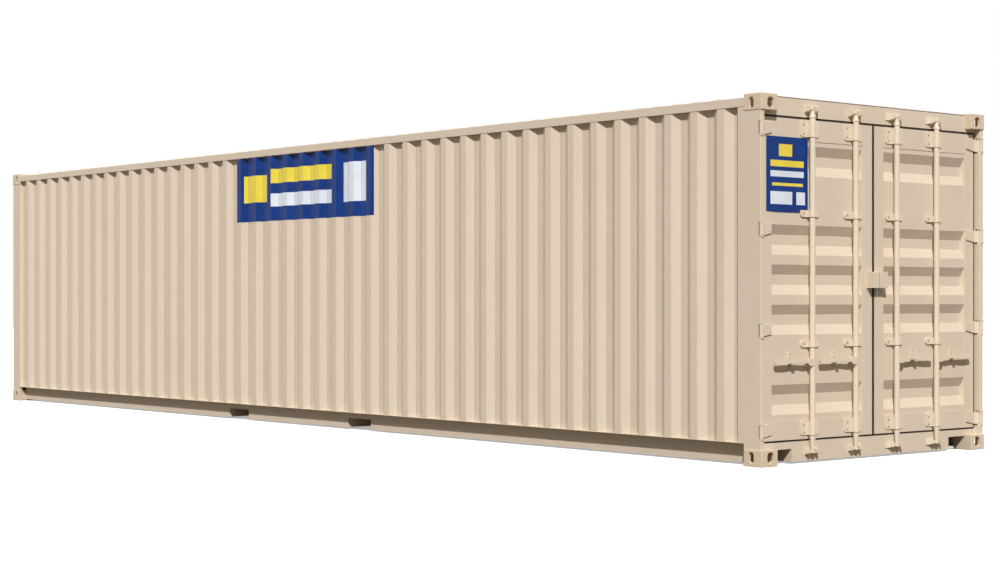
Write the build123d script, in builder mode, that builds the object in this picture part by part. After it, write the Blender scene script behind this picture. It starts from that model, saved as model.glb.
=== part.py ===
from build123d import *
from math import atan2, cos, degrees, sin
import os

# Forty-foot dry freight container, standard height.
# X runs along the length with the doors at +X, Y across the width, Z up from the ground.
LENGTH = 12192.0
WIDTH = 2438.0
HEIGHT = 2591.0

# corner castings
CASTING_L = 178.0
CASTING_W = 162.0
CASTING_H = 118.0
CASTING_PLATE = 28.5
CASTING_SIDE = 20.0
CASTING_BACK = 14.0
CASTING_EDGE = 4.0
SLOT_SETBACK_X = 103.5
SLOT_SETBACK_Y = 89.5
SLOT_LENGTH = 124.0
SLOT_WIDTH = 63.5
LASHING_LONG = 79.0
SIDE_HOLE_WIDE = 51.0
END_HOLE_WIDE = 63.5
LASHING_HEIGHT = 63.0
SIDE_HOLE_SETBACK = 101.5
END_HOLE_SETBACK = 89.0

# sheet and plate
SHEET = 2.0
PLATE = 4.0
HEAVY_PLATE = 6.0

# levels from the ground
UNDERSIDE = 16.0
FLOOR_TOP = 160.0
PLYWOOD = 28.0
SILL_TOP = 158.0
RAIL_TOP = 162.0

# levels down from the top of the castings
ROOF_DROP = 6.0
TOP_RAIL_DROP = 26.0
TOP_RAIL_SIZE = 60.0
HEADER_DROP = 14.0
HEADER_DEPTH = 126.0

# corrugated side wall: its outer face lies back from the face of the castings
WALL_FACE = 5.0
WALL_DEPTH = 36.0
WALL_OUTER = 72.0
WALL_SLOPE = 68.0
WALL_INNER = 70.0
WALL_REAR_FLAT = 140.0

# side rails
POST_FACE = 4.0
TOP_RAIL_FACE = 2.0
WEB_SETBACK = 78.0
RAIL_PLATE = 4.5
RAIL_FOOT = 30.0

# rear posts: front lip, inner channel and a return that meets the wall
POST_FRONT = 10.0
POST_EDGE = 4.0
POST_LIP = 10.0
POST_INNER = 41.0
POST_CHANNEL = 123.0
POST_REAR = 238.0
FRONT_POST_W = 150.0
FRONT_POST_RETURN = 60.0

# door leaves
DOOR_FACE = 62.0
DOOR_THICK = 50.0
LEAF_GAP = 20.0
LEAF_MEET = 13.0
LEAF_HEAD_GAP = 16.0
LEAF_FOOT_GAP = 14.0
LEAF_STILE = 100.0
LEAF_BOTTOM_RAIL = 136.0
LEAF_TOP_RAIL = 152.0
TUBE_WALL = 4.5
GASKET_SETBACK = 3.0
GASKET_DEPTH = 30.0
GASKET_CLEAR = 6.0
GASKET_MEET = 9.0
PANEL_RECESS = 4.0
PRESSING_H = 212.0
PRESSING_FLAT = 72.0
PRESSING_DEPTH = 36.0
PRESSING_INSET = 3.0
PRESSING_END = 8.0
PRESSING_PLACES = [0.075, 0.3595, 0.502, 0.644, 0.929]

# hinges: the pin stands in the front outer corner of the post
PIN_U = 17.0
PIN_V = 17.0
PIN_R = 8.0
EYE_R = 15.0
BLADE_T = 10.0
BLADE_RISE = 20.0
HINGE_H = 90.0
HINGE_TIP = 152.0
HINGE_FOOT = 70.0
HINGE_HEAD = 85.0
HINGE_PLACES = [0.0, 1 / 3, 2 / 3, 1.0]
EAR_WIDTH = 26.0
EAR_DEPTH = 33.0
LUG_H = 10.5
PIN_PLAY = 0.7
HINGE_PLAY = 1.5
HINGE_CLEAR = 6.0

# locking bars
BAR_V = 27.5
BAR_R = 21.0
BAR_PLAY = 0.3
BAR_PLACES = [478 / 1145, 933 / 1145]
BAR_END_R = 13.0
COLLAR_R = 24.0
CONE_H = 58.0
BAR_TIP_R = 9.0
CAM_R = 24.0
CAM_BODY = 13.0
CAM_T = 16.0
LOW_CAM_RISE = 12.0
HIGH_CAM_RISE = 20.0
BAR_STUB = 4.0
TAPER_RISE = 20.0
COLLAR_RISE = 15.0

# brackets that carry the bars
STRAP_T = 5.0
BASE_HALF = 92.0
BASE_T = 8.0
BASE_CORNER = 12.0
LOW_BRACKET = 28.0
LOW_BRACKET_H = 103.0
HANDLE_BRACKET = 95.0
UPPER_BRACKET = 690.0
MIDDLE_BRACKET_H = 48.0
HIGH_BRACKET = 123.0
HIGH_BRACKET_H = 118.0

# keepers
KEEPER_BASE = 5.0
CHEEK_IN = 38.0
CHEEK_T = 12.0
CHEEK_FRONT = 12.0
KEEPER_FOOT = 88.0
KEEPER_TAPER = 12.0
LOW_KEEPER_DROP = 96.0
LOW_KEEPER_H = 46.0
HIGH_KEEPER_RISE = 35.0
HIGH_KEEPER_H = 54.0

# handles
HANDLE_Z = 727.0
HANDLE_V = 12.0
HANDLE_T = 12.0
HANDLE_GAP = 65.0
HANDLE_EYE = 15.0
HUB_REACH = 48.0
HUB_TOP = 18.0
HUB_BOTTOM = 37.0
HUB_NOSE = 62.0
HUB_HALF = 16.0
HUB_CHEEK = 7.0
CHEEK_CLEAR = 4.0
PIVOT_HEAD = 2.0
CLEVIS_GAP = 1.0
PIVOT_R = 5.0
RETAINER_INSET = 185.0
RETAINER_HALF = 18.0
RETAINER_LOW = 37.0
RETAINER_HIGH = 60.0
SHELF_HALF = 13.0
SHELF_LIP = 4.0
SHELF_DROP = 19.0
SHELF_T = 8.0
HASP_CLEAR = 9.0
HASP_TOP = 46.0

# lock box over the door seam
BOX_H = 118.0
BOX_LEFT = 73.0
BOX_RIGHT = 94.0
BOX_SPLIT = 3.0
BOX_T = 4.0

# underframe
MEMBER_FLANGE = 45.0
MEMBER_STEP = 520.0
POCKET_CENTRES = [977.0, -1117.0]
POCKET_WIDTH = 360.0
POCKET_TOP = 104.0
POCKET_PLATE = 8.0
TUNNEL_LEN = 3315.0
TUNNEL_W = 1029.0
TUNNEL_H = 120.0
TUNNEL_PLATE = 8.0
SILL_DEPTH = 212.0
SILL_PLATE = 8.0
NOTCH_OUT = 360.0
NOTCH_TOP = 108.0

# front end wall
FRONT_FACE = 8.0
FRONT_WAVE_DEPTH = 45.0
FRONT_OUTER = 104.0
FRONT_SLOPE = 18.0
FRONT_INNER = 110.0
FRONT_FRAME = 64.0

# roof pressings
ROOF_PITCH = 209.0
ROOF_CREST = 91.0
ROOF_RAMP = 13.5
ROOF_END_U = 66.0
ROOF_END_RUN = 26.0
ROOF_EDGE_U = 20.0
PLATE_REACH = 440.0
ROOF_PLATE = 3.0

# places that follow from the sizes above
HALF_L = LENGTH / 2
HALF_W = WIDTH / 2
FOOT_TOP = UNDERSIDE + RAIL_PLATE
BEARER_TOP = FLOOR_TOP - PLYWOOD
ROOF_TOP = HEIGHT - ROOF_DROP
TOP_RAIL_TOP = HEIGHT - TOP_RAIL_DROP
TOP_RAIL_BOTTOM = TOP_RAIL_TOP - TOP_RAIL_SIZE
HEADER_TOP = HEIGHT - HEADER_DROP
HEADER_BOTTOM = HEADER_TOP - HEADER_DEPTH
HEADER_CAP = HEADER_TOP + 5.0
POST_BOTTOM = CASTING_H
POST_TOP = HEIGHT - CASTING_H
RAIL_END = HALF_L - CASTING_L
END_HALF = HALF_W - CASTING_W
WEB_INNER = WEB_SETBACK + RAIL_PLATE
INNER_HALF = HALF_W - WEB_INNER
LEAF_EDGE = POST_INNER + LEAF_GAP
LEAF_CENTRE = HALF_W - LEAF_MEET
LEAF_BOTTOM = SILL_TOP + LEAF_FOOT_GAP
LEAF_TOP = HEADER_BOTTOM - LEAF_HEAD_GAP
LEAF_WIDTH = LEAF_CENTRE - LEAF_EDGE
BAR_OFFSETS = [HALF_W - LEAF_EDGE - LEAF_WIDTH * place for place in BAR_PLACES]
HANDLE_LEN = BAR_OFFSETS[0] - BAR_OFFSETS[1] - HANDLE_GAP
RETAINER_REACH = HANDLE_LEN - RETAINER_INSET
PANEL_BOTTOM = LEAF_BOTTOM + LEAF_BOTTOM_RAIL
PANEL_TOP = LEAF_TOP - LEAF_TOP_RAIL
PANEL_U0 = LEAF_EDGE + LEAF_STILE
PANEL_U1 = LEAF_CENTRE - LEAF_STILE
PANEL_FACE = DOOR_FACE + PANEL_RECESS
LOWEST_HINGE = LEAF_BOTTOM + HINGE_FOOT
HIGHEST_HINGE = LEAF_TOP - HINGE_HEAD
HINGE_HEIGHTS = [LOWEST_HINGE + (HIGHEST_HINGE - LOWEST_HINGE) * place for place in HINGE_PLACES]
HINGE_REACH = HINGE_H / 2 + HINGE_PLAY + LUG_H
STRAP_R = BAR_R + BAR_PLAY + STRAP_T
BRACKETS = [(LEAF_BOTTOM + LOW_BRACKET, LOW_BRACKET_H), (HANDLE_Z + HANDLE_BRACKET, MIDDLE_BRACKET_H),
            (LEAF_TOP - UPPER_BRACKET, MIDDLE_BRACKET_H), (LEAF_TOP - HIGH_BRACKET, HIGH_BRACKET_H)]
LOW_KEEPER = SILL_TOP - LOW_KEEPER_DROP
HIGH_KEEPER = HEADER_BOTTOM + HIGH_KEEPER_RISE
LOW_CAM = LOW_KEEPER + LOW_CAM_RISE
HIGH_CAM = HIGH_KEEPER + HIGH_CAM_RISE
BAR_BOTTOM = LOW_CAM - BAR_STUB
BAR_TOP = HIGH_CAM + CAM_T + 2 * BAR_STUB
BAR_TAPER_TOP = LEAF_BOTTOM + TAPER_RISE
COLLAR_Z = LEAF_TOP + COLLAR_RISE
CONE_TOP = COLLAR_Z + CONE_H
EAR_BACK = POST_FACE + EAR_DEPTH

os.makedirs("parts", exist_ok=True)


def block(x0, x1, y0, y1, z0, z1, mode=Mode.ADD):
    with Locations(((x0 + x1) / 2, (y0 + y1) / 2, (z0 + z1) / 2)):
        Box(x1 - x0, y1 - y0, z1 - z0, mode=mode)


def door_block(u0, u1, v0, v1, z0, z1, mode=Mode.ADD):
    # u is measured in from the left side face, v in from the door-end face
    block(HALF_L - v1, HALF_L - v0, -HALF_W + u0, -HALF_W + u1, z0, z1, mode)


def plan(u, v):
    return (HALF_L - v, -HALF_W + u)


def save(part, name):
    part.label = name
    export_step(part, "parts/" + name + ".step")


def flat_sided(inner_radius, mode=Mode.ADD):
    # eight flats around a pin or a bore, inner_radius from the axis to each
    RegularPolygon(inner_radius, 8, major_radius=False, rotation=22.5, mode=mode)


def long_hole(length, width):
    # an oval hole along the sketch's own X, each end in flats
    reach = (length - width) / 2
    with Locations((-reach, 0), (reach, 0)):
        flat_sided(width / 2)
    Rectangle(2 * reach, width)


def wave(start, end, first, widths, depth, count):
    # vertices (distance, level) of a trapezoid wave that starts and ends on the inner level
    outer, slope, inner = widths
    points = [(start, 0.0)]
    for k in range(count):
        foot = first + k * (outer + inner + 2 * slope)
        points.append((foot - slope, 0.0))
        points.append((foot, depth))
        points.append((foot + outer, depth))
        points.append((foot + outer + slope, 0.0))
    points.append((end, 0.0))
    return points


def thickened(points, sheet):
    # closes a wave into a band that lies below it, sheet thick square to every face
    lower = []
    for i, (p, level) in enumerate(points):
        if i in (0, len(points) - 1):
            lower.append((p, level - sheet))
            continue
        before = atan2(level - points[i - 1][1], p - points[i - 1][0])
        after = atan2(points[i + 1][1] - level, points[i + 1][0] - p)
        half = (after - before) / 2
        mean = (after + before) / 2
        reach = sheet / cos(half)
        lower.append((p + reach * sin(mean), level - reach * cos(mean)))
    return points + lower[::-1]


def waves_between(start, end, widths):
    outer, slope, inner = widths
    pitch = outer + inner + 2 * slope
    return int((end - start - outer - slope) // pitch) + 1


# corner castings: one modelled at the near corner, the rest mirrored
with BuildPart() as corner_castings:
    door_block(0, CASTING_W, 0, CASTING_L, 0, CASTING_H)
    chamfer(corner_castings.edges(), CASTING_EDGE)
    door_block(CASTING_SIDE, CASTING_W - CASTING_BACK, CASTING_SIDE, CASTING_L - CASTING_BACK,
               CASTING_PLATE, CASTING_H - CASTING_BACK, Mode.SUBTRACT)
    with BuildSketch():
        with Locations(plan(SLOT_SETBACK_Y, SLOT_SETBACK_X)):
            SlotOverall(SLOT_LENGTH, SLOT_WIDTH)
    extrude(amount=CASTING_PLATE, mode=Mode.SUBTRACT)
    side_spot = (HALF_L - SIDE_HOLE_SETBACK, -HALF_W, LASHING_HEIGHT)
    end_spot = (HALF_L, -HALF_W + END_HOLE_SETBACK, LASHING_HEIGHT)
    for spot, inward, wide in ((side_spot, (0, 1, 0), SIDE_HOLE_WIDE), (end_spot, (-1, 0, 0), END_HOLE_WIDE)):
        with BuildSketch(Plane(origin=spot, x_dir=(0, 0, 1), z_dir=inward)):
            long_hole(LASHING_LONG, wide)
        extrude(amount=CASTING_SIDE, mode=Mode.SUBTRACT)
    mirror(about=Plane.XZ)
    mirror(about=Plane.YZ)
    mirror(about=Plane.XY.offset(HEIGHT / 2))
save(corner_castings.part, "corner_castings")

# rear corner posts, notched where the hinges stand
with BuildPart() as rear_posts:
    skin = POST_FACE + HEAVY_PLATE
    door_block(POST_FACE, skin, POST_FRONT, CASTING_L, POST_BOTTOM, POST_TOP)
    door_block(POST_FACE, skin, CASTING_L, POST_REAR, RAIL_TOP, TOP_RAIL_BOTTOM)
    door_block(POST_FACE, POST_INNER, POST_FRONT, POST_FRONT + POST_LIP, POST_BOTTOM, POST_TOP)
    door_block(POST_INNER - POST_LIP, POST_INNER, POST_FRONT, POST_CHANNEL, POST_BOTTOM, POST_TOP)
    door_block(POST_FACE, POST_INNER, POST_CHANNEL - POST_LIP, POST_CHANNEL, POST_BOTTOM, POST_TOP)
    door_block(POST_INNER - HEAVY_PLATE, POST_INNER, POST_CHANNEL, CASTING_L, POST_BOTTOM, POST_TOP)
    door_block(POST_INNER - HEAVY_PLATE, POST_INNER, CASTING_L, POST_REAR, RAIL_TOP, TOP_RAIL_BOTTOM)
    door_block(POST_FACE, POST_INNER, POST_REAR - HEAVY_PLATE, POST_REAR, RAIL_TOP, TOP_RAIL_BOTTOM)
    front_edges = rear_posts.edges().filter_by(Axis.Z).group_by(Axis.X)[-1]
    chamfer(front_edges, POST_EDGE)
    for height in HINGE_HEIGHTS:
        low, high = height - HINGE_REACH, height + HINGE_REACH
        door_block(0, skin, 0, EAR_BACK, low, high, Mode.SUBTRACT)
        door_block(skin, POST_INNER, 0, DOOR_FACE - HINGE_CLEAR, low, high, Mode.SUBTRACT)
    mirror(about=Plane.XZ)
save(rear_posts.part, "rear_posts")

# hinge lugs: two welded ears and the pin that joins them, at each hinge
with BuildPart() as hinge_lugs:
    for height in HINGE_HEIGHTS:
        for foot in (height - HINGE_REACH, height + HINGE_REACH - LUG_H):
            with BuildSketch(Plane.XY.offset(foot)):
                with BuildLine():
                    Polyline(plan(POST_FACE, EAR_BACK), plan(POST_FACE, POST_FACE),
                             plan(POST_FACE + EAR_WIDTH, POST_FACE), plan(POST_INNER, EAR_BACK), close=True)
                make_face()
            extrude(amount=LUG_H)
        with BuildSketch(Plane.XY.offset(height - HINGE_REACH)):
            with Locations(plan(PIN_U, PIN_V)):
                flat_sided(PIN_R)
        extrude(amount=2 * HINGE_REACH)
    mirror(about=Plane.XZ)
save(hinge_lugs.part, "hinge_lugs")

# front corner posts: open pressed section
with BuildPart() as front_pair:
    face_in = POST_FACE + HEAVY_PLATE
    door_block(POST_FACE, face_in, POST_FACE, CASTING_L, POST_BOTTOM, POST_TOP)
    door_block(POST_FACE, FRONT_POST_W, POST_FACE, face_in, POST_BOTTOM, POST_TOP)
    return_in = WALL_FACE + WALL_DEPTH + SHEET
    door_block(POST_FACE, return_in, CASTING_L - HEAVY_PLATE, CASTING_L, POST_BOTTOM, POST_TOP)
    door_block(FRONT_POST_W - HEAVY_PLATE, FRONT_POST_W, POST_FACE, FRONT_POST_RETURN, POST_BOTTOM, POST_TOP)
    mirror(about=Plane.XZ)
with BuildPart() as front_posts:
    mirror(front_pair.part, about=Plane.YZ)
save(front_posts.part, "front_posts")

# side rails
with BuildPart() as top_side_rails:
    with BuildSketch(Plane(origin=(-RAIL_END, 0, 0), x_dir=(0, 1, 0), z_dir=(1, 0, 0))):
        with Locations((-HALF_W + TOP_RAIL_FACE + TOP_RAIL_SIZE / 2, TOP_RAIL_BOTTOM + TOP_RAIL_SIZE / 2)):
            Rectangle(TOP_RAIL_SIZE, TOP_RAIL_SIZE)
            Rectangle(TOP_RAIL_SIZE - 2 * PLATE, TOP_RAIL_SIZE - 2 * PLATE, mode=Mode.SUBTRACT)
    extrude(amount=2 * RAIL_END)
    mirror(about=Plane.XZ)
save(top_side_rails.part, "top_side_rails")

with BuildPart() as bottom_side_rails:
    with BuildSketch(Plane(origin=(-RAIL_END, -HALF_W, 0), x_dir=(0, 1, 0), z_dir=(1, 0, 0))):
        with BuildLine():
            Polyline((POST_FACE, RAIL_TOP), (WEB_INNER, RAIL_TOP), (WEB_INNER, FOOT_TOP),
                     (WEB_INNER + RAIL_FOOT, FOOT_TOP), (WEB_INNER + RAIL_FOOT, UNDERSIDE),
                     (WEB_SETBACK, UNDERSIDE), (WEB_SETBACK, RAIL_TOP - RAIL_PLATE),
                     (POST_FACE, RAIL_TOP - RAIL_PLATE), close=True)
        make_face()
    extrude(amount=2 * RAIL_END)
    for centre in POCKET_CENTRES:
        block(centre - POCKET_WIDTH / 2, centre + POCKET_WIDTH / 2, -HALF_W, -INNER_HALF + RAIL_FOOT + 1,
              0, POCKET_TOP, Mode.SUBTRACT)
    mirror(about=Plane.XZ)
save(bottom_side_rails.part, "bottom_side_rails")

# side walls: one pressed profile, mirrored across
WALL_WIDTHS = (WALL_OUTER, WALL_SLOPE, WALL_INNER)
wall_first = POST_REAR + WALL_REAR_FLAT
wall_end = LENGTH - CASTING_L
wall_profile = wave(POST_REAR, wall_end, wall_first, WALL_WIDTHS, WALL_DEPTH,
                    waves_between(wall_first, wall_end, WALL_WIDTHS))
with BuildPart() as left_wall:
    with BuildSketch(Plane.XY.offset(RAIL_TOP)):
        with BuildLine():
            Polyline(*[plan(WALL_FACE + WALL_DEPTH - level, v)
                       for v, level in thickened(wall_profile, SHEET)], close=True)
        make_face()
    extrude(amount=TOP_RAIL_BOTTOM - RAIL_TOP)
save(left_wall.part, "left_wall")

with BuildPart() as right_wall:
    mirror(left_wall.part, about=Plane.XZ)
save(right_wall.part, "right_wall")

# front end: corrugated wall, header and sill
FRONT_WIDTHS = (FRONT_OUTER, FRONT_SLOPE, FRONT_INNER)
front_half = HALF_W - FRONT_POST_W
front_pitch = FRONT_OUTER + FRONT_INNER + 2 * FRONT_SLOPE
front_waves = int(2 * front_half // front_pitch)
front_first = -(front_waves * front_pitch - FRONT_INNER - 2 * FRONT_SLOPE) / 2
front_profile = wave(-front_half, front_half, front_first, FRONT_WIDTHS, FRONT_WAVE_DEPTH, front_waves)
with BuildPart() as front_wall:
    with BuildSketch(Plane.XY.offset(RAIL_TOP)):
        with BuildLine():
            Polyline(*[(-HALF_L + FRONT_FACE + FRONT_WAVE_DEPTH - level, y)
                       for y, level in thickened(front_profile, SHEET)], close=True)
        make_face()
    extrude(amount=POST_TOP - RAIL_TOP)
save(front_wall.part, "front_wall")

front_x = -HALF_L + POST_FACE
with BuildPart() as front_header:
    block(front_x, -HALF_L + FRONT_FRAME, -END_HALF, END_HALF, POST_TOP, HEADER_CAP)
    block(front_x + PLATE, -HALF_L + FRONT_FRAME - PLATE, -END_HALF, END_HALF,
          POST_TOP + PLATE, HEADER_CAP - PLATE, Mode.SUBTRACT)
save(front_header.part, "front_header")

with BuildPart() as front_sill:
    block(front_x, front_x + SILL_PLATE, -END_HALF, END_HALF, UNDERSIDE, RAIL_TOP)
    block(front_x, -HALF_L + FRONT_FRAME, -END_HALF, END_HALF, RAIL_TOP - HEAVY_PLATE, RAIL_TOP)
    block(-HALF_L, front_x + SILL_PLATE, -TUNNEL_W / 2, TUNNEL_W / 2, 0, TUNNEL_H, Mode.SUBTRACT)
save(front_sill.part, "front_sill")

# door end: header box with a rain cap, and the sill with its two lashing notches
with BuildPart() as door_header:
    skin_v = DOOR_FACE + PLATE
    rear_v = CASTING_L - PLATE
    soffit = HEADER_BOTTOM + PLATE
    door_block(CASTING_W, HALF_W, DOOR_FACE, CASTING_L, HEADER_BOTTOM, HEADER_TOP)
    door_block(POST_INNER, CASTING_W, DOOR_FACE, CASTING_L, HEADER_BOTTOM, POST_TOP)
    door_block(POST_INNER + PLATE, HALF_W, skin_v, rear_v, soffit, POST_TOP - PLATE, Mode.SUBTRACT)
    door_block(CASTING_W, HALF_W, skin_v, rear_v, soffit, HEADER_TOP - PLATE, Mode.SUBTRACT)
    door_block(CASTING_W, HALF_W, DOOR_FACE + DOOR_THICK, CASTING_L, HEADER_TOP, HEADER_CAP)
    mirror(about=Plane.XZ)
save(door_header.part, "door_header")

with BuildPart() as door_sill:
    door_block(CASTING_W, HALF_W, DOOR_FACE, DOOR_FACE + SILL_PLATE, UNDERSIDE, SILL_TOP)
    door_block(POST_INNER, CASTING_W, DOOR_FACE, CASTING_L, CASTING_H, SILL_TOP)
    door_block(CASTING_W, HALF_W, DOOR_FACE, SILL_DEPTH, SILL_TOP - SILL_PLATE, SILL_TOP)
    door_block(CASTING_W, NOTCH_OUT, DOOR_FACE, SILL_DEPTH, 0, NOTCH_TOP, Mode.SUBTRACT)
    door_block(CASTING_W, NOTCH_OUT, DOOR_FACE, SILL_DEPTH, NOTCH_TOP, NOTCH_TOP + SILL_PLATE)
    door_block(NOTCH_OUT, NOTCH_OUT + SILL_PLATE, DOOR_FACE, SILL_DEPTH, UNDERSIDE, SILL_TOP)
    door_block(NOTCH_OUT, HALF_W, SILL_DEPTH - SILL_PLATE, SILL_DEPTH, UNDERSIDE, SILL_TOP)
    mirror(about=Plane.XZ)
save(door_sill.part, "door_sill")


# underframe: pressed channel members that butt against the rail webs and stand on the rail feet
def cross_member(x, y0, y1):
    with BuildSketch(Plane(origin=(x, y1, 0), x_dir=(1, 0, 0), z_dir=(0, -1, 0))) as channel:
        with BuildLine():
            Polyline((0, FOOT_TOP), (MEMBER_FLANGE, FOOT_TOP), (MEMBER_FLANGE, FOOT_TOP + PLATE),
                     (PLATE, FOOT_TOP + PLATE), (PLATE, BEARER_TOP - PLATE),
                     (MEMBER_FLANGE, BEARER_TOP - PLATE), (MEMBER_FLANGE, BEARER_TOP), (0, BEARER_TOP),
                     close=True)
        make_face()
    extrude(channel.sketch, amount=y1 - y0)


def spread(a, b):
    count = max(1, round((b - a) / MEMBER_STEP))
    return [a + (b - a) * (i + 0.5) / count - MEMBER_FLANGE / 2 for i in range(count)]


tunnel_end = -HALF_L + TUNNEL_LEN
pocket_half = POCKET_WIDTH / 2 + POCKET_PLATE
BAYS = {"rear": (POCKET_CENTRES[0] + pocket_half, HALF_L - SILL_DEPTH),
        "middle": (POCKET_CENTRES[1] + pocket_half, POCKET_CENTRES[0] - pocket_half),
        "front": (tunnel_end + TUNNEL_PLATE, POCKET_CENTRES[1] - pocket_half)}
for bay, (bay_start, bay_end) in BAYS.items():
    with BuildPart() as members:
        for x in spread(bay_start, bay_end):
            cross_member(x, -INNER_HALF, INNER_HALF)
    save(members.part, bay + "_cross_members")

with BuildPart() as fork_pockets:
    for centre in POCKET_CENTRES:
        for side in (-1, 1):
            near = centre + side * POCKET_WIDTH / 2
            far = near + side * POCKET_PLATE
            block(min(near, far), max(near, far), -INNER_HALF, INNER_HALF, FOOT_TOP, BEARER_TOP)
        block(centre - POCKET_WIDTH / 2, centre + POCKET_WIDTH / 2, -INNER_HALF, INNER_HALF,
              POCKET_TOP, POCKET_TOP + HEAVY_PLATE)
save(fork_pockets.part, "fork_pockets")

tunnel_start = front_x + SILL_PLATE
tunnel_side = TUNNEL_W / 2 + TUNNEL_PLATE
with BuildPart() as gooseneck_tunnel:
    block(tunnel_start, tunnel_end, -tunnel_side, tunnel_side, TUNNEL_H, BEARER_TOP)
    block(tunnel_end, tunnel_end + TUNNEL_PLATE, -INNER_HALF, INNER_HALF, FOOT_TOP, BEARER_TOP)
    block(tunnel_start, tunnel_end, TUNNEL_W / 2, tunnel_side, FOOT_TOP, TUNNEL_H)
    for x in spread(tunnel_start + FRONT_FRAME, tunnel_end):
        cross_member(x, tunnel_side, INNER_HALF)
    mirror(about=Plane.XZ)
save(gooseneck_tunnel.part, "gooseneck_tunnel")

with BuildPart() as floor:
    block(-HALF_L + FRONT_FRAME, HALF_L - SILL_DEPTH, -INNER_HALF, INNER_HALF, BEARER_TOP, FLOOR_TOP)
save(floor.part, "floor")

# roof: raised pressings across the width with closed sloping ends
roof_x0 = -HALF_L + PLATE_REACH
roof_x1 = HALF_L - PLATE_REACH
roof_waves = int((roof_x1 - roof_x0) // ROOF_PITCH)
roof_lift = ROOF_TOP - TOP_RAIL_TOP - SHEET
roof_first = -(roof_waves * ROOF_PITCH - ROOF_CREST - 2 * ROOF_RAMP) / 2 + ROOF_RAMP
roof_profile = wave(roof_x0, roof_x1, roof_first,
                    (ROOF_CREST, ROOF_RAMP, ROOF_PITCH - ROOF_CREST - 2 * ROOF_RAMP), roof_lift, roof_waves)
roof_points = thickened(roof_profile, SHEET)
upper_points = roof_points[:len(roof_profile)]
lower_points = roof_points[len(roof_profile):][::-1]
valley_top = TOP_RAIL_TOP + SHEET


def ramp_cut(drop):
    # wedges that slope the two ends of every pressing down to the flat rim
    for side in (-1, 1):
        foot = side * (HALF_W - ROOF_END_U - drop)
        crest = side * (HALF_W - ROOF_END_U - ROOF_END_RUN - drop)
        clear = side * (HALF_W + ROOF_END_U)
        over = ROOF_TOP + roof_lift
        with BuildSketch(Plane(origin=(roof_x0 - 1, 0, 0), x_dir=(0, 1, 0), z_dir=(1, 0, 0))) as wedge:
            with BuildLine():
                Polyline((foot, valley_top - drop), (crest, ROOF_TOP - drop), (crest, over), (clear, over),
                         (clear, valley_top - drop), close=True)
            make_face()
        extrude(wedge.sketch, amount=roof_x1 - roof_x0 + 2, mode=Mode.SUBTRACT)


with BuildPart() as roof_hollow:
    with BuildSketch(Plane.XZ):
        with BuildLine():
            Polyline(*[(x, valley_top + level) for x, level in lower_points],
                     (roof_x1, TOP_RAIL_BOTTOM), (roof_x0, TOP_RAIL_BOTTOM), close=True)
        make_face()
    extrude(amount=HALF_W, both=True)
    ramp_cut(SHEET)

with BuildPart() as roof_panel:
    with BuildSketch(Plane.XZ):
        with BuildLine():
            Polyline(*[(x, valley_top + level) for x, level in upper_points],
                     (roof_x1, TOP_RAIL_TOP), (roof_x0, TOP_RAIL_TOP), close=True)
        make_face()
    extrude(amount=HALF_W - ROOF_EDGE_U, both=True)
    ramp_cut(0)
    add(roof_hollow.part, mode=Mode.SUBTRACT)
save(roof_panel.part, "roof_panel")

with BuildPart() as roof_end_plates:
    plate_half = HALF_W - ROOF_EDGE_U
    block(roof_x1, RAIL_END, -plate_half, plate_half, TOP_RAIL_TOP, TOP_RAIL_TOP + ROOF_PLATE)
    block(roof_x1, HALF_L - DOOR_FACE - 1, -END_HALF, END_HALF, HEADER_CAP, ROOF_TOP)
    block(roof_x1, roof_x1 + HEAVY_PLATE, -END_HALF, END_HALF, TOP_RAIL_TOP, ROOF_TOP)
    mirror(about=Plane.YZ)
save(roof_end_plates.part, "roof_end_plates")


# keepers: forged plates with two cheeks, open to the front, their long foot turned to the door seam
def keeper(offset, foot, tall):
    front = HALF_L - CHEEK_FRONT
    web = HALF_L - DOOR_FACE + KEEPER_BASE
    wall = HALF_L - DOOR_FACE
    out_near, out_far = CHEEK_IN + CHEEK_T, KEEPER_FOOT
    for sign in (-1, 1):
        with BuildSketch(Plane.XY.offset(foot)) as outline:
            with BuildLine():
                Polyline(*[(x, sign * (offset - t)) for x, t in (
                    (wall, -out_near), (wall, out_far), (web, out_far), (web + 10, out_near + KEEPER_TAPER),
                    (front, out_near), (front, CHEEK_IN), (web, CHEEK_IN), (web, -CHEEK_IN),
                    (front, -CHEEK_IN), (front, -out_near))], close=True)
            make_face()
        extrude(outline.sketch, amount=tall)


def taper_keepers(foot, tall):
    # slopes the top and bottom of every cheek toward its nose
    web = HALF_L - DOOR_FACE + KEEPER_BASE
    nose = HALF_L - CHEEK_FRONT
    for edge_z, inward in ((foot, KEEPER_TAPER), (foot + tall, -KEEPER_TAPER)):
        with BuildSketch(Plane(origin=(0, -HALF_W, 0), x_dir=(1, 0, 0), z_dir=(0, 1, 0))) as slope:
            with BuildLine():
                Polyline((web, -edge_z), (nose, -(edge_z + inward)), (nose + 1, -(edge_z + inward)),
                         (nose + 1, -edge_z), close=True)
            make_face()
        extrude(slope.sketch, amount=WIDTH, mode=Mode.SUBTRACT)


for name, foot, tall in (("top_keepers", HIGH_KEEPER, HIGH_KEEPER_H),
                         ("bottom_keepers", LOW_KEEPER, LOW_KEEPER_H)):
    with BuildPart() as keepers:
        for offset in BAR_OFFSETS:
            keeper(offset, foot, tall)
        taper_keepers(foot, tall)
    save(keepers.part, name)

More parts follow.
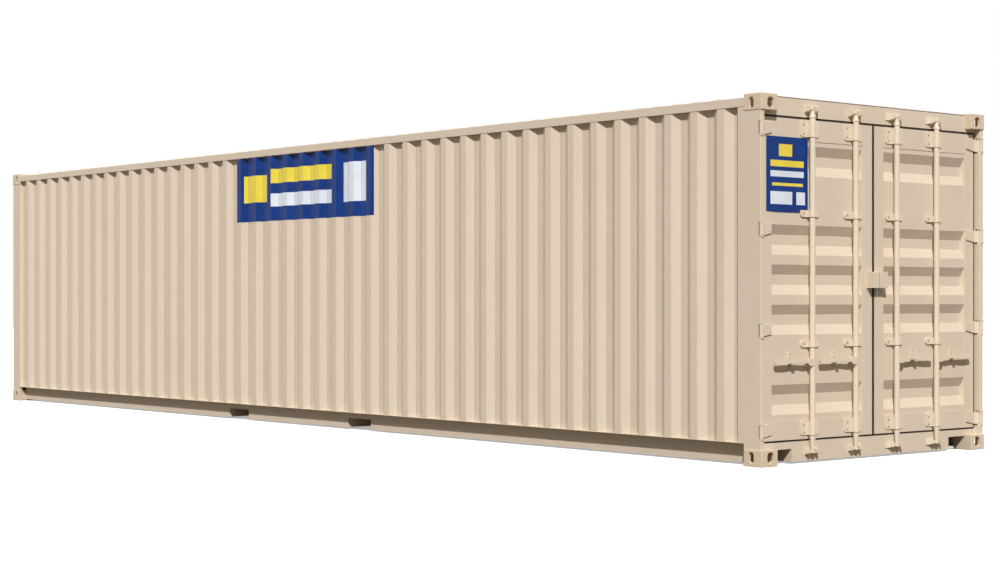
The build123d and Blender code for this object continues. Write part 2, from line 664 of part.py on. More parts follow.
# door leaves: the left one is modelled and the right one mirrored
with BuildPart() as left_door_frame:
    back = DOOR_FACE + DOOR_THICK
    door_block(LEAF_EDGE, LEAF_CENTRE, DOOR_FACE, back, LEAF_BOTTOM, LEAF_TOP)
    door_block(LEAF_EDGE + TUBE_WALL, LEAF_CENTRE - TUBE_WALL, DOOR_FACE + TUBE_WALL, back - TUBE_WALL,
               LEAF_BOTTOM + TUBE_WALL, LEAF_TOP - TUBE_WALL, Mode.SUBTRACT)
    door_block(PANEL_U0 - TUBE_WALL, PANEL_U1 + TUBE_WALL, DOOR_FACE, back,
               PANEL_BOTTOM - TUBE_WALL, PANEL_TOP + TUBE_WALL)
    door_block(PANEL_U0, PANEL_U1, DOOR_FACE, back, PANEL_BOTTOM, PANEL_TOP, Mode.SUBTRACT)
save(left_door_frame.part, "left_door_frame")

pressing_w = PANEL_U1 - PANEL_U0 - 2 * PRESSING_INSET
pressing_y = -HALF_W + (PANEL_U0 + PANEL_U1) / 2


def pan(face, grow):
    # a sunk pan with four sloping sides: a trapezoid across the leaf crossed with one up it
    front = HALF_L - face
    with BuildPart() as solid:
        for width, flat, plane in ((PRESSING_H, PRESSING_FLAT, Plane.XZ),
                                   (pressing_w, pressing_w - 2 * PRESSING_END, Plane.XY)):
            mode = Mode.ADD if plane == Plane.XZ else Mode.INTERSECT
            rim = (width + grow) / 2
            bed = (flat + grow) / 2
            with BuildSketch(plane):
                with BuildLine():
                    Polyline((front, rim), (front - PRESSING_DEPTH, bed), (front - PRESSING_DEPTH, -bed),
                             (front, -rim), close=True)
                make_face()
            extrude(amount=HALF_W, both=True, mode=mode)
    return solid.part


outer_pan = pan(PANEL_FACE + SHEET, SHEET)
inner_pan = pan(PANEL_FACE, 0.0)
with BuildPart() as left_door_panel:
    heights = [PANEL_BOTTOM + (PANEL_TOP - PANEL_BOTTOM) * place for place in PRESSING_PLACES]
    door_block(PANEL_U0, PANEL_U1, PANEL_FACE, PANEL_FACE + SHEET, PANEL_BOTTOM, PANEL_TOP)
    with Locations(*[(0, pressing_y, height) for height in heights]):
        add(outer_pan)
        add(inner_pan, mode=Mode.SUBTRACT)
save(left_door_panel.part, "left_door_panel")

with BuildPart() as left_door_gasket:
    seal_front = DOOR_FACE + GASKET_SETBACK
    seal_back = seal_front + GASKET_DEPTH
    door_block(POST_INNER + GASKET_CLEAR, LEAF_CENTRE + GASKET_MEET, seal_front, seal_back,
               SILL_TOP + GASKET_CLEAR, HEADER_BOTTOM - GASKET_CLEAR)
    door_block(LEAF_EDGE, LEAF_CENTRE, seal_front, seal_back, LEAF_BOTTOM, LEAF_TOP, Mode.SUBTRACT)
save(left_door_gasket.part, "left_door_gasket")

# hinges: an eye on the pin and a blade that runs back to the leaf and tapers to its tip
with BuildPart() as left_hinges:
    blade_front = DOOR_FACE - BLADE_T
    crook = PIN_U + DOOR_FACE - PIN_V - BLADE_T * 0.7
    for height in HINGE_HEIGHTS:
        foot = height - HINGE_H / 2
        with BuildSketch(Plane.XY.offset(foot)):
            with BuildLine():
                Polyline(plan(PIN_U + 3, PIN_V - 4), plan(crook, blade_front),
                         plan(HINGE_TIP, blade_front), plan(HINGE_TIP, DOOR_FACE), plan(crook, DOOR_FACE),
                         plan(PIN_U - 4, PIN_V + 3), close=True)
            make_face()
            with Locations(plan(PIN_U, PIN_V)):
                RegularPolygon(EYE_R, 12)
                flat_sided(PIN_R + PIN_PLAY, Mode.SUBTRACT)
        extrude(amount=HINGE_H)
        with BuildSketch(Plane(origin=(HALF_L, -HALF_W, foot), x_dir=(0, 1, 0), z_dir=(-1, 0, 0))):
            with BuildLine():
                Polyline((crook, 0), (HINGE_TIP + 1, 0), (HINGE_TIP + 1, -BLADE_RISE), close=True)
            make_face()
        extrude(amount=DOOR_FACE, mode=Mode.SUBTRACT)
save(left_hinges.part, "left_hinges")

# brackets: a base plate with a strap that wraps each bar
with BuildPart() as left_bar_brackets:
    for offset in BAR_OFFSETS:
        for foot, tall in BRACKETS:
            on_panel = PANEL_BOTTOM < foot < PANEL_TOP - tall
            seat = PANEL_FACE if on_panel else DOOR_FACE
            base_front = DOOR_FACE - BASE_T
            with BuildSketch(Plane.XY.offset(foot)):
                with Locations(plan(HALF_W - offset, (base_front + seat) / 2)):
                    Rectangle(seat - base_front, 2 * BASE_HALF)
                for radius, mode in ((STRAP_R, Mode.ADD), (BAR_R + BAR_PLAY, Mode.SUBTRACT)):
                    with Locations(plan(HALF_W - offset, (BAR_V + base_front) / 2)):
                        Rectangle(base_front - BAR_V, 2 * radius, mode=mode)
                    with Locations(plan(HALF_W - offset, BAR_V)):
                        flat_sided(radius, mode)
            extrude(amount=tall)
            ends = left_bar_brackets.edges(Select.LAST).filter_by(Axis.X)
            outer = ends.group_by(Axis.Y)[0] + ends.group_by(Axis.Y)[-1]
            chamfer(outer, BASE_CORNER)
save(left_bar_brackets.part, "left_bar_brackets")

# handle retainers: a back plate, the shelf that the handle rests over and the tab of the hasp above it
with BuildPart() as left_handle_retainers:
    for offset in BAR_OFFSETS:
        u = HALF_W - offset - RETAINER_REACH
        plate_v = DOOR_FACE - BASE_T
        door_block(u - RETAINER_HALF, u + RETAINER_HALF, plate_v, PANEL_FACE,
                   HANDLE_Z - RETAINER_LOW, HANDLE_Z + RETAINER_HIGH)
        door_block(u - SHELF_HALF, u + SHELF_HALF, HANDLE_V - SHELF_LIP, plate_v,
                   HANDLE_Z - SHELF_DROP - SHELF_T, HANDLE_Z - SHELF_DROP)
        door_block(u - SHELF_HALF, u + SHELF_HALF, HANDLE_V + HANDLE_T + HASP_CLEAR, plate_v,
                   HANDLE_Z + HUB_TOP, HANDLE_Z + HASP_TOP)
    corners = left_handle_retainers.edges().filter_by(Axis.X).group_by(Axis.Z)
    chamfer(corners[-1], SHELF_T)
save(left_handle_retainers.part, "left_handle_retainers")

# lock box: two open-bottomed covers that meet at the door seam
BOX_Z = (LEAF_BOTTOM + LEAF_TOP - BOX_H) / 2
for name, near, far in (("left_lock_box", -BOX_LEFT, -BOX_SPLIT), ("right_lock_box", BOX_SPLIT, BOX_RIGHT)):
    with BuildPart() as cover:
        block(HALF_L - DOOR_FACE, HALF_L - 1, near, far, BOX_Z, BOX_Z + BOX_H)
        hollow = (near + BOX_T, far) if near < 0 else (near, far - BOX_T)
        block(HALF_L - DOOR_FACE, HALF_L - 1 - BOX_T, hollow[0], hollow[1], BOX_Z - 1, BOX_Z + BOX_H - BOX_T,
              Mode.SUBTRACT)
        front_rim = cover.edges().filter_by(Axis.Y).group_by(Axis.X)[-1]
        chamfer(front_rim.sort_by(Axis.Z)[-1], 3)
    save(cover.part, name)

for source, name in ((left_door_frame, "door_frame"), (left_door_panel, "door_panel"),
                     (left_door_gasket, "door_gasket"), (left_hinges, "hinges"),
                     (left_bar_brackets, "bar_brackets"), (left_handle_retainers, "handle_retainers")):
    with BuildPart() as mirrored:
        mirror(source.part, about=Plane.XZ)
    save(mirrored.part, "right_" + name)

# locking bar on its own axis: tube with drawn-down ends, cams, and the clevis that carries the handle
handle_near = BAR_V - HANDLE_V
handle_far = handle_near - HANDLE_T
with BuildPart() as bar:
    with BuildSketch(Plane.XY.offset(BAR_TAPER_TOP)):
        RegularPolygon(BAR_R, 16)
    extrude(amount=COLLAR_Z - BAR_TAPER_TOP)
    for z0, z1, r0, r1 in ((BAR_BOTTOM, LOW_CAM + CAM_T, BAR_END_R, BAR_END_R),
                           (LOW_CAM + CAM_T, BAR_TAPER_TOP, BAR_END_R, BAR_R),
                           (COLLAR_Z, CONE_TOP, COLLAR_R, BAR_TIP_R),
                           (CONE_TOP, BAR_TOP, BAR_TIP_R, BAR_TIP_R)):
        with BuildSketch(Plane.XY.offset(z0)):
            flat_sided(r0)
        extrude(amount=z1 - z0, taper=degrees(atan2(r0 - r1, z1 - z0)))
    for z0 in (LOW_CAM, HIGH_CAM):
        with BuildSketch(Plane.XY.offset(z0)):
            with BuildLine():
                Polyline((-5, -CAM_R), (7, -CAM_R), (CAM_BODY, -10), (CAM_BODY, 10), (5, CAM_R), (-7, CAM_R),
                         (-CAM_BODY, 10), (-CAM_BODY, -10), close=True)
            make_face()
        extrude(amount=CAM_T)
    with BuildSketch(Plane(origin=(-HUB_HALF, 0, HANDLE_Z), x_dir=(0, 1, 0), z_dir=(1, 0, 0))):
        with BuildLine():
            Polyline((0, HUB_TOP), (-HUB_NOSE + 8, HUB_TOP), (-HUB_NOSE, HUB_TOP - 8),
                     (-HUB_NOSE, -HUB_BOTTOM + 14), (-HUB_NOSE + 18, -HUB_BOTTOM), (0, -HUB_BOTTOM),
                     close=True)
        make_face()
    extrude(amount=HUB_HALF + handle_near + HUB_CHEEK)
    block(handle_far - CLEVIS_GAP, handle_near + CLEVIS_GAP, -HUB_NOSE - 1, -BAR_R - CHEEK_CLEAR,
          HANDLE_Z - HUB_BOTTOM - 1, HANDLE_Z + HUB_TOP + 1, Mode.SUBTRACT)
    with BuildSketch(Plane(origin=(-HUB_HALF, -HUB_REACH, HANDLE_Z), x_dir=(0, 1, 0), z_dir=(1, 0, 0))):
        flat_sided(PIVOT_R)
    extrude(amount=HUB_HALF + handle_near + HUB_CHEEK + PIVOT_HEAD)

# handle: eye, cranked neck and grip, cut from flat bar
with BuildPart() as handle:
    with BuildSketch(Plane(origin=(handle_far, 0, HANDLE_Z), x_dir=(0, 1, 0), z_dir=(1, 0, 0))) as outline:
        with BuildLine():
            Polyline((-HUB_REACH, 15), (-HUB_REACH - 70, 11), (-HUB_REACH - 120, 17), (-HANDLE_LEN + 60, 17),
                     (-HANDLE_LEN, 14), (-HANDLE_LEN, -16), (-HANDLE_LEN + 12, -20), (-HANDLE_LEN + 90, -20),
                     (-HUB_REACH - 160, -12), (-HUB_REACH - 100, -12), (-HUB_REACH - 60, -20),
                     (-HUB_REACH, -15), close=True)
        make_face()
        with Locations((-HUB_REACH, 0)):
            RegularPolygon(HANDLE_EYE, 12)
            flat_sided(PIVOT_R + PIN_PLAY, Mode.SUBTRACT)
    extrude(amount=HANDLE_T)
    grip = handle.edges().filter_by(Axis.X).group_by(Axis.Y)[0]
    chamfer(grip, 5)

# the same bar and handle stand four times, numbered from the left side of the door end
places = [-BAR_OFFSETS[0], -BAR_OFFSETS[1], BAR_OFFSETS[1], BAR_OFFSETS[0]]
for i, y in enumerate(places, start=1):
    for source, kind in ((bar, "bar"), (handle, "handle")):
        with BuildPart() as handed:
            if y < 0:
                add(source.part)
            else:
                mirror(source.part, about=Plane.XZ)
        save(Pos(HALF_L - BAR_V, y, 0) * handed.part, kind + "_" + str(i))
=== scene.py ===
import bpy
import bmesh
import math
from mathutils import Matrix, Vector


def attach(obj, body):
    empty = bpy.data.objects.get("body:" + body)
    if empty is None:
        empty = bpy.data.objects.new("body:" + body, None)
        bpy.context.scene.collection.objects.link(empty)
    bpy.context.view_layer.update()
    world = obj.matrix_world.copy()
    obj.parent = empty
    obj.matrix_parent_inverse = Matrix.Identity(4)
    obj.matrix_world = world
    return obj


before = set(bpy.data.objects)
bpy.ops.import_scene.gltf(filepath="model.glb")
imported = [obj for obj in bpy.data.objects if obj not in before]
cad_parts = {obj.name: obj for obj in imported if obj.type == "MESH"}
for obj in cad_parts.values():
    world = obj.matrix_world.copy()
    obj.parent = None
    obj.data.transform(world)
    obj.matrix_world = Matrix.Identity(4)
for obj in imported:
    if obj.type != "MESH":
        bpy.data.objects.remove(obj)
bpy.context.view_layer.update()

scene = bpy.context.scene
scene.view_settings.view_transform = "Standard"

# lengths are in metres: X runs toward the door end, Y toward the right side as seen from there
HALF_LENGTH = 6.096
HALF_WIDTH = 1.219
DOOR_FACE = HALF_LENGTH - 0.062


def linear(red, green, blue):
    """the colour as shading needs it, from the 0 to 255 of a screen"""
    def channel(value):
        value = value / 255
        return value / 12.92 if value <= 0.04045 else ((value + 0.055) / 1.055) ** 2.4
    return (channel(red), channel(green), channel(blue), 1.0)


TAN = linear(213, 196, 175)
TAN_LIGHT = linear(219, 203, 180)
TAN_DUSTY = linear(202, 182, 155)
CASTING_TAN = linear(210, 191, 166)
# the rivets' dark tans are painted shade: they stand in for the shade around the rivet heads, with a
# random worn tone on top
BOLT_SHADE_TAN = linear(140, 119, 94)
BOLT_WORN_SHADE_TAN = linear(112, 93, 71)
RUBBER = linear(44, 39, 35)
RUBBER_DUSTY = linear(70, 61, 53)
PLY = linear(150, 108, 66)
PLY_DARK = linear(112, 76, 45)
SIGN_BLUE = linear(18, 56, 126)
SIGN_BLUE_DEEP = linear(14, 48, 114)
SIGN_YELLOW = linear(236, 214, 84)
SIGN_YELLOW_DEEP = linear(228, 204, 70)
SIGN_WHITE = linear(226, 230, 238)
SIGN_WHITE_DEEP = linear(214, 220, 230)
WHITE = (1.0, 1.0, 1.0, 1.0)

# how far the paint's clouds and specks are drawn back to its plain colour
PAINT_EVENNESS = 0.80


class Nodes:
    """a small helper that adds nodes to one material and links them"""

    def __init__(self, name):
        self.material = bpy.data.materials.new(name)
        self.material.use_nodes = True
        self.tree = self.material.node_tree
        self.shader = self.tree.nodes["Principled BSDF"]
        self.coords = self.add("ShaderNodeTexCoord").outputs["Object"]

    def add(self, kind, **values):
        node = self.tree.nodes.new(kind)
        for key, value in values.items():
            setattr(node, key, value)
        return node

    def link(self, source, target):
        self.tree.links.new(source, target)

    def mapped(self, scale=(1, 1, 1), location=(0, 0, 0)):
        node = self.add("ShaderNodeMapping")
        node.inputs["Scale"].default_value = scale
        node.inputs["Location"].default_value = location
        self.link(self.coords, node.inputs["Vector"])
        return node.outputs["Vector"]

    def noise(self, scale, vector=None, detail=3.0, rough=0.5):
        node = self.add("ShaderNodeTexNoise")
        node.inputs["Scale"].default_value = scale
        node.inputs["Detail"].default_value = detail
        node.inputs["Roughness"].default_value = rough
        self.link(vector or self.coords, node.inputs["Vector"])
        return node.outputs["Fac"]

    def ramp(self, value, stops):
        """a colour for each value, from stops of (value, colour)"""
        node = self.add("ShaderNodeValToRGB")
        elements = node.color_ramp.elements
        while len(elements) < len(stops):
            elements.new(0.5)
        for element, (place, colour) in zip(elements, stops):
            element.position = place
            element.color = colour
        self.link(value, node.inputs["Fac"])
        return node.outputs["Color"]

    def span(self, value, taken, given):
        """carries the range taken over to the range given"""
        node = self.add("ShaderNodeMapRange")
        for key, number in zip(("From Min", "From Max", "To Min", "To Max"), taken + given):
            node.inputs[key].default_value = number
        self.link(value, node.inputs["Value"])
        return node.outputs["Result"]

    def mix(self, factor, first, second):
        """from the first colour at factor 0 to the second at 1"""
        node = self.add("ShaderNodeMix", data_type="RGBA")
        for key, kind, value in (
                ("Factor", "VALUE", factor), ("A", "RGBA", first), ("B", "RGBA", second)):
            socket = next(s for s in node.inputs if s.name == key and s.type == kind)
            if isinstance(value, (tuple, float)):
                socket.default_value = value
            else:
                self.link(value, socket)
        return next(s for s in node.outputs if s.type == "RGBA")

    def bump(self, height, strength, distance):
        node = self.add("ShaderNodeBump")
        node.inputs["Strength"].default_value = strength
        node.inputs["Distance"].default_value = distance
        self.link(height, node.inputs["Height"])
        self.link(node.outputs["Normal"], self.shader.inputs["Normal"])

    def finish(self, colour, roughness, specular=0.5):
        self.link(colour, self.shader.inputs["Base Color"])
        self.link(roughness, self.shader.inputs["Roughness"])
        self.shader.inputs["Specular IOR Level"].default_value = specular
        return self.material


def paint(name, base, dusty, light, grain=60.0, seed=0.0):
    """matt paint with faint clouds and fine specks of dust; the seed shifts both to another place"""
    look = Nodes(name)
    clouds = look.noise(1.3, look.mapped((1, 1, 0.6), (seed, seed, 0)), detail=4.0, rough=0.6)
    tone = look.ramp(clouds, ((0.30, dusty), (0.50, base), (0.72, light)))
    specks = look.noise(grain, look.mapped(location=(0, seed, seed)), detail=5.0, rough=0.7)
    worn = look.mix(look.span(specks, (0.60, 0.78), (0.0, 0.35)), tone, dusty)
    colour = look.mix(PAINT_EVENNESS, worn, base)
    look.bump(look.noise(420.0, detail=2.0), strength=0.05, distance=0.0006)
    return look.finish(colour, look.span(specks, (0.3, 0.7), (0.52, 0.66)), specular=0.32)


def rubber(name):
    look = Nodes(name)
    dust = look.noise(14.0, look.mapped((1, 1, 0.5)), detail=4.0, rough=0.6)
    colour = look.ramp(dust, ((0.35, RUBBER), (0.75, RUBBER_DUSTY)))
    look.bump(look.noise(300.0), strength=0.08, distance=0.0005)
    return look.finish(colour, look.span(dust, (0.3, 0.7), (0.65, 0.85)), specular=0.25)


def plywood(name):
    """boards with a grain that runs along the container"""
    look = Nodes(name)
    grain = look.noise(7.0, look.mapped((0.5, 9.0, 9.0)), detail=6.0, rough=0.65)
    colour = look.ramp(grain, ((0.30, PLY_DARK), (0.62, PLY)))
    look.bump(grain, strength=0.15, distance=0.0008)
    return look.finish(colour, look.span(grain, (0.3, 0.7), (0.45, 0.62)))


def vinyl(name, base, deep):
    """the smooth sheet of the signs"""
    look = Nodes(name)
    clouds = look.noise(5.0)
    colour = look.ramp(clouds, ((0.35, deep), (0.65, base)))
    return look.finish(colour, look.span(clouds, (0.3, 0.7), (0.34, 0.46)), specular=0.18)


materials = {
    "body": paint("paint_body", TAN, TAN_DUSTY, TAN_LIGHT),
    "casting": paint("paint_casting", CASTING_TAN, TAN_DUSTY, TAN, 140.0, 3.1),
    "gear": paint("paint_gear", TAN_LIGHT, TAN, TAN_LIGHT, 160.0, 7.7),
    # the rivets' finish: paint darkened as painted shade at the rivet heads
    "bolt": paint("paint_bolt_painted_shade", BOLT_SHADE_TAN, BOLT_WORN_SHADE_TAN, BOLT_SHADE_TAN, 160.0, 5.2),
    "rubber": rubber("rubber_gasket"),
    "plywood": plywood("plywood_floor"),
    "blue": vinyl("sign_blue", SIGN_BLUE, SIGN_BLUE_DEEP),
    "yellow": vinyl("sign_yellow", SIGN_YELLOW, SIGN_YELLOW_DEEP),
    "white": vinyl("sign_white", SIGN_WHITE, SIGN_WHITE_DEEP),
}


def finish_of(name):
    """the key of a CAD node's material"""
    if "gasket" in name:
        return "rubber"
    if name == "floor":
        return "plywood"
    if name == "corner_castings":
        return "casting"
    if name.startswith(("bar_", "handle_")) or "brackets" in name or "keepers" in name:
        return "gear"
    return "body"


for name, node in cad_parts.items():
    for slot in node.material_slots:
        slot.material = materials[finish_of(name)]


def new_piece(name, bm, finish, body, smooth=False):
    """an object from the mesh in bm, which rides on a body and has a slot's finish"""
    bmesh.ops.recalc_face_normals(bm, faces=bm.faces)
    mesh = bpy.data.meshes.new(name)
    bm.to_mesh(mesh)
    bm.free()
    for face in mesh.polygons:
        face.use_smooth = smooth
    mesh.materials.append(materials[finish])
    piece = bpy.data.objects.new(name, mesh)
    scene.collection.objects.link(piece)
    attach(piece, body)


# the air between the signs and the paint, and how thick the signs' plain bars are
SIGN_GAP = 0.0002
MARK_THICK = 0.0004


def share(pair, part):
    """the value that lies a part of the way through the pair"""
    return pair[0] + (pair[1] - pair[0]) * part


def sign_marks(sign, marks, draw, body):
    """a sign's plain bars, as one piece for each of their two colours"""
    for colour in ("yellow", "white"):
        bm = bmesh.new()
        for finish, left, right, bottom, top in marks:
            if finish == colour:
                draw(bm, left, right, bottom, top)
        new_piece(sign + "_" + colour, bm, colour, body)


def prism(bm, outline, place, depth):
    """a plate with an outline of (y, z) points, which reaches from place through its depth along X"""
    back = [bm.verts.new((place, y, z)) for y, z in outline]
    front = [bm.verts.new((place + depth, y, z)) for y, z in outline]
    bm.faces.new(back)
    bm.faces.new(front[::-1])
    count = len(outline)
    for i in range(count):
        j = (i + 1) % count
        bm.faces.new((back[i], front[i], front[j], back[j]))


# the door's sign, with a notch where the lower right corner leaves room for a bracket
DOOR_SIGN_Y = (-1.112, -0.695)
DOOR_SIGN_Z = (1.775, 2.303)
DOOR_SIGN_THICK = 0.0012
NOTCH_Y = -0.774
NOTCH_Z = 1.795

# each row is a bar's colour and its left, right, bottom and top, as parts of the sign
DOOR_MARKS = (
    ("yellow", 0.30, 0.62, 0.74, 0.90),
    ("yellow", 0.10, 0.90, 0.60, 0.685),
    ("white", 0.10, 0.90, 0.465, 0.545),
    ("yellow", 0.14, 0.88, 0.345, 0.385),
    ("white", 0.10, 0.62, 0.10, 0.27),
    ("white", 0.72, 0.93, 0.10, 0.27),
)


def door_sign_plate():
    bm = bmesh.new()
    left, right = DOOR_SIGN_Y
    bottom, top = DOOR_SIGN_Z
    outline = [(left, bottom), (NOTCH_Y, bottom), (NOTCH_Y, NOTCH_Z),
               (right, NOTCH_Z), (right, top), (left, top)]
    prism(bm, outline, DOOR_FACE + SIGN_GAP, DOOR_SIGN_THICK)
    return bm


def door_mark(bm, left, right, bottom, top):
    y0, y1 = share(DOOR_SIGN_Y, left), share(DOOR_SIGN_Y, right)
    z0, z1 = share(DOOR_SIGN_Z, bottom), share(DOOR_SIGN_Z, top)
    outline = [(y0, z0), (y1, z0), (y1, z1), (y0, z1)]
    prism(bm, outline, DOOR_FACE + SIGN_GAP + DOOR_SIGN_THICK, MARK_THICK)


new_piece("door_sign", door_sign_plate(), "blue", "left_door")
sign_marks("door_sign", DOOR_MARKS, door_mark, "left_door")

# the side wall's waves: how far in the outer flats lie, the depth, the length of an outer flat and
# of a slope, the pitch, and where the first outer flat starts as measured from the door end
WALL_FACE = 0.005
WALL_DEPTH = 0.036
WALL_OUTER = 0.072
WALL_SLOPE = 0.068
WALL_PITCH = 0.278
WALL_FIRST = 0.378


def wall_level(along):
    """how far the side wall's skin lies in from the castings' face, at a distance from the door end"""
    phase = (along - WALL_FIRST + WALL_SLOPE) % WALL_PITCH
    if phase < WALL_SLOPE:
        return WALL_FACE + WALL_DEPTH * (1 - phase / WALL_SLOPE)
    if phase < WALL_SLOPE + WALL_OUTER:
        return WALL_FACE
    if phase < 2 * WALL_SLOPE + WALL_OUTER:
        return WALL_FACE + WALL_DEPTH * (phase - WALL_SLOPE - WALL_OUTER) / WALL_SLOPE
    return WALL_FACE + WALL_DEPTH


def bends(start, end):
    """the start, the end and every place between them where the skin turns"""
    found = [start, end]
    wave = 0
    while WALL_FIRST + wave * WALL_PITCH - WALL_SLOPE < end:
        flat = WALL_FIRST + wave * WALL_PITCH
        for place in (flat - WALL_SLOPE, flat, flat + WALL_OUTER, flat + WALL_OUTER + WALL_SLOPE):
            if start < place < end:
                found.append(place)
        wave += 1
    return sorted(found)


def skin(bm, start, end, bottom, top, near, thick):
    """a sheet that follows the side wall's waves, near metres off it and thick metres through"""
    columns = []
    for along in bends(start, end):
        x = HALF_LENGTH - along
        column = []
        for off in (near, near + thick):
            y = -HALF_WIDTH + wall_level(along) - off
            column.append((bm.verts.new((x, y, bottom)), bm.verts.new((x, y, top))))
        columns.append(column)
    for (a_in, a_out), (b_in, b_out) in zip(columns, columns[1:]):
        bm.faces.new((a_in[0], b_in[0], b_in[1], a_in[1]))
        bm.faces.new((a_out[0], a_out[1], b_out[1], b_out[0]))
        bm.faces.new((a_in[0], a_out[0], b_out[0], b_in[0]))
        bm.faces.new((a_in[1], b_in[1], b_out[1], a_out[1]))
    for end_in, end_out in (columns[0], columns[-1]):
        bm.faces.new((end_in[0], end_in[1], end_out[1], end_out[0]))


# the left wall's sign, placed by its distance from the door end, so its right edge comes first
SIDE_SIGN_ALONG = (4.800, 7.136)
SIDE_SIGN_Z = (1.895, 2.500)
SIDE_SIGN_THICK = 0.0008

# rows as in the door's sign
SIDE_MARKS = (
    ("yellow", 0.05, 0.22, 0.30, 0.72),
    ("yellow", 0.27, 0.72, 0.58, 0.80),
    ("white", 0.27, 0.72, 0.22, 0.42),
    ("white", 0.78, 0.95, 0.22, 0.80),
)


def side_sign_sheet():
    bm = bmesh.new()
    skin(bm, *SIDE_SIGN_ALONG, *SIDE_SIGN_Z, SIGN_GAP, SIDE_SIGN_THICK)
    return bm


def side_mark(bm, left, right, bottom, top):
    start, end = share(SIDE_SIGN_ALONG, 1 - right), share(SIDE_SIGN_ALONG, 1 - left)
    z0, z1 = share(SIDE_SIGN_Z, bottom), share(SIDE_SIGN_Z, top)
    skin(bm, start, end, z0, z1, SIGN_GAP + SIDE_SIGN_THICK, MARK_THICK)


new_piece("side_sign", side_sign_sheet(), "blue", "frame")
sign_marks("side_sign", SIDE_MARKS, side_mark, "frame")

# the lock gear: where each leaf's bars stand, and the heights of the rivets beside them
BARS = {"left": (-0.680, -0.225), "right": (0.225, 0.680)}
BRACKET_ROWS = (0.218, 0.270, 0.846, 1.769, 2.335, 2.400)
BRACKET_REACH = 0.060
RETAINER_ROWS = (0.695, 0.7785)
RETAINER_REACH = 0.205

# the rivets' feet lie 0.2 mm inside the front of the plates that carry them
RIVET_SEAT = HALF_LENGTH - 0.0542

# radius, height, corners around and steps up of a rivet's head
BRACKET_RIVET = (0.0065, 0.0038, 16, 4)
RETAINER_RIVET = (0.0055, 0.0040, 12, 3)


def dome(bm, y, z, radius, height, corners, steps):
    """a rivet's head that stands out along X from its seat"""
    turns = [2 * math.pi * i / corners for i in range(corners)]
    loops = []
    for step in range(steps):
        angle = math.pi / 2 * step / steps
        r = radius * math.cos(angle)
        x = RIVET_SEAT + height * math.sin(angle)
        loops.append([bm.verts.new((x, y + r * math.cos(t), z + r * math.sin(t))) for t in turns])
    top = bm.verts.new((RIVET_SEAT + height, y, z))
    bm.faces.new(loops[0][::-1])
    for low, high in zip(loops, loops[1:]):
        for i in range(corners):
            j = (i + 1) % corners
            bm.faces.new((low[i], low[j], high[j], high[i]))
    for i in range(corners):
        bm.faces.new((loops[-1][i], loops[-1][(i + 1) % corners], top))


def rivets(kind, side, offsets, rows, head):
    """one piece with a rivet on every row at each offset from the leaf's bars"""
    bm = bmesh.new()
    for bar in BARS[side]:
        for z in rows:
            for offset in offsets:
                dome(bm, bar + offset, z, *head)
    new_piece(side + kind, bm, "bolt", side + "_door", smooth=True)


# every rivet takes the dark bolt finish, which is painted shade
for side in ("left", "right"):
    rivets("_bracket_rivets", side, (-BRACKET_REACH, BRACKET_REACH),
           BRACKET_ROWS, BRACKET_RIVET)
for side, hinge_side in (("left", -1), ("right", 1)):
    rivets("_retainer_rivets", side, (hinge_side * RETAINER_REACH,),
           RETAINER_ROWS, RETAINER_RIVET)

# the studio: a floor and a sky that look white, and light the object less than they look
FLOOR_REACH = 60.0
FLOOR_SEEN = (0.93, 0.95, 0.99, 1.0)
FLOOR_BOUNCED = (0.13, 0.11, 0.08, 1.0)
FLOOR_DIMMER = 0.985
FLOOR_GLOW = 0.42
SKY_TINT = (1.0, 0.985, 0.95, 1.0)
SKY_LIGHT = 0.275


def seen_directly(tree):
    """a value of 1 for rays of the camera and of reflections, and of 0 for light between surfaces"""
    paths = tree.nodes.new("ShaderNodeLightPath")
    either = tree.nodes.new("ShaderNodeMath")
    either.operation = "MAXIMUM"
    tree.links.new(paths.outputs["Is Camera Ray"], either.inputs[0])
    tree.links.new(paths.outputs["Is Glossy Ray"], either.inputs[1])
    return either.outputs["Value"]


def floor_look(name):
    """pale where the camera sees it, and a duller ground where it lights the object from below"""
    look = Nodes(name)
    clouds = look.noise(0.6)
    dimmer = tuple(value * FLOOR_DIMMER for value in FLOOR_SEEN[:3]) + (1.0,)
    pale = look.ramp(clouds, ((0.3, dimmer), (0.7, FLOOR_SEEN)))
    camera_ray = look.add("ShaderNodeLightPath").outputs["Is Camera Ray"]
    colour = look.mix(camera_ray, FLOOR_BOUNCED, pale)
    glow = look.span(seen_directly(look.tree), (0.0, 1.0), (0.0, FLOOR_GLOW))
    look.link(glow, look.shader.inputs["Emission Strength"])
    look.shader.inputs["Emission Color"].default_value = WHITE
    return look.finish(colour, look.span(clouds, (0.3, 0.7), (0.90, 0.95)), specular=0.1)


def studio_floor(name):
    reach = FLOOR_REACH
    corners = [(-reach, -reach, 0), (reach, -reach, 0), (reach, reach, 0), (-reach, reach, 0)]
    mesh = bpy.data.meshes.new(name)
    mesh.from_pydata(corners, [], [(0, 1, 2, 3)])
    mesh.materials.append(floor_look(name))
    floor = bpy.data.objects.new(name, mesh)
    scene.collection.objects.link(floor)


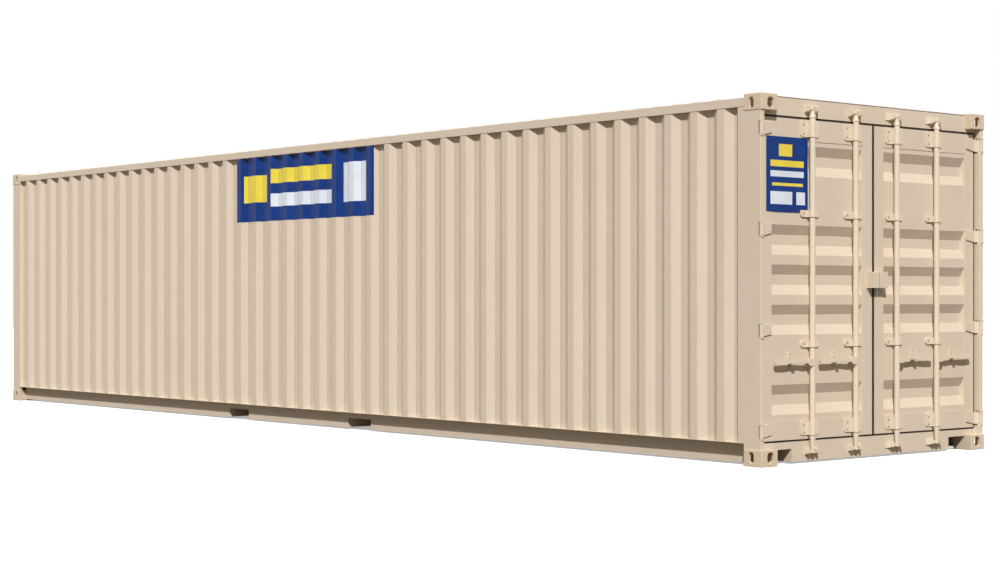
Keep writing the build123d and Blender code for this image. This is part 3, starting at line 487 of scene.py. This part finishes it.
def studio_sky():
    """white as the camera sees it, and a dim warm light for the object"""
    scene.world = bpy.data.worlds.new("studio")
    scene.world.use_nodes = True
    tree = scene.world.node_tree
    tree.nodes.clear()
    blend = tree.nodes.new("ShaderNodeMixShader")
    tree.links.new(seen_directly(tree), blend.inputs[0])
    for place, colour, strength in ((1, SKY_TINT, SKY_LIGHT), (2, WHITE, 1.0)):
        sky = tree.nodes.new("ShaderNodeBackground")
        sky.inputs["Color"].default_value = colour
        sky.inputs["Strength"].default_value = strength
        tree.links.new(sky.outputs["Background"], blend.inputs[place])
    output = tree.nodes.new("ShaderNodeOutputWorld")
    tree.links.new(blend.outputs["Shader"], output.inputs["Surface"])


# each row is a lamp's name, the direction toward it, its strength, its width in degrees and its tint
LAMPS = (
    ("key_lamp", (1.0, -0.83, 1.09), 3.90, 1.0, (0.98, 0.99, 1.0)),
    ("left_fill_lamp", (-0.85, -0.30, 0.50), 0.66, 20.0, (1.0, 0.965, 0.91)),
    ("right_fill_lamp", (0.05, 0.90, 0.35), 0.95, 20.0, (1.0, 0.98, 0.95)),
)


def studio_lamp(name, towards, strength, width, tint):
    lamp_data = bpy.data.lights.new(name, "SUN")
    lamp_data.energy = strength
    lamp_data.angle = math.radians(width)
    lamp_data.color = tint
    lamp = bpy.data.objects.new(name, lamp_data)
    scene.collection.objects.link(lamp)
    lamp.rotation_mode = "QUATERNION"
    lamp.rotation_quaternion = Vector(towards).to_track_quat("Z", "Y")


# the camera that fits the photo: picture size, focal length and centre in pixels, place and direction
PHOTO_W = 1000
PHOTO_H = 563
FOCAL_PX = 1935.67
CENTRE_X = 695.90
CENTRE_Y = 298.73
CAMERA_PLACE = (15.5525, -10.6434, 1.1657)
CAMERA_TOWARDS = (-0.7318, 0.6815, 0.0)
SENSOR_MM = 36.0
FARTHEST = 300.0


def photo_camera():
    camera_data = bpy.data.cameras.new("camera")
    camera_data.sensor_width = SENSOR_MM
    camera_data.lens = SENSOR_MM * FOCAL_PX / PHOTO_W
    camera_data.shift_x = -(CENTRE_X - PHOTO_W / 2) / PHOTO_W
    camera_data.shift_y = (CENTRE_Y - PHOTO_H / 2) / PHOTO_W
    camera_data.clip_end = FARTHEST
    camera = bpy.data.objects.new("camera", camera_data)
    scene.collection.objects.link(camera)
    scene.camera = camera
    camera.location = CAMERA_PLACE
    camera.rotation_mode = "QUATERNION"
    camera.rotation_quaternion = Vector(CAMERA_TOWARDS).to_track_quat("-Z", "Y")


studio_floor("studio_floor")
studio_sky()
for lamp_row in LAMPS:
    studio_lamp(*lamp_row)
photo_camera()
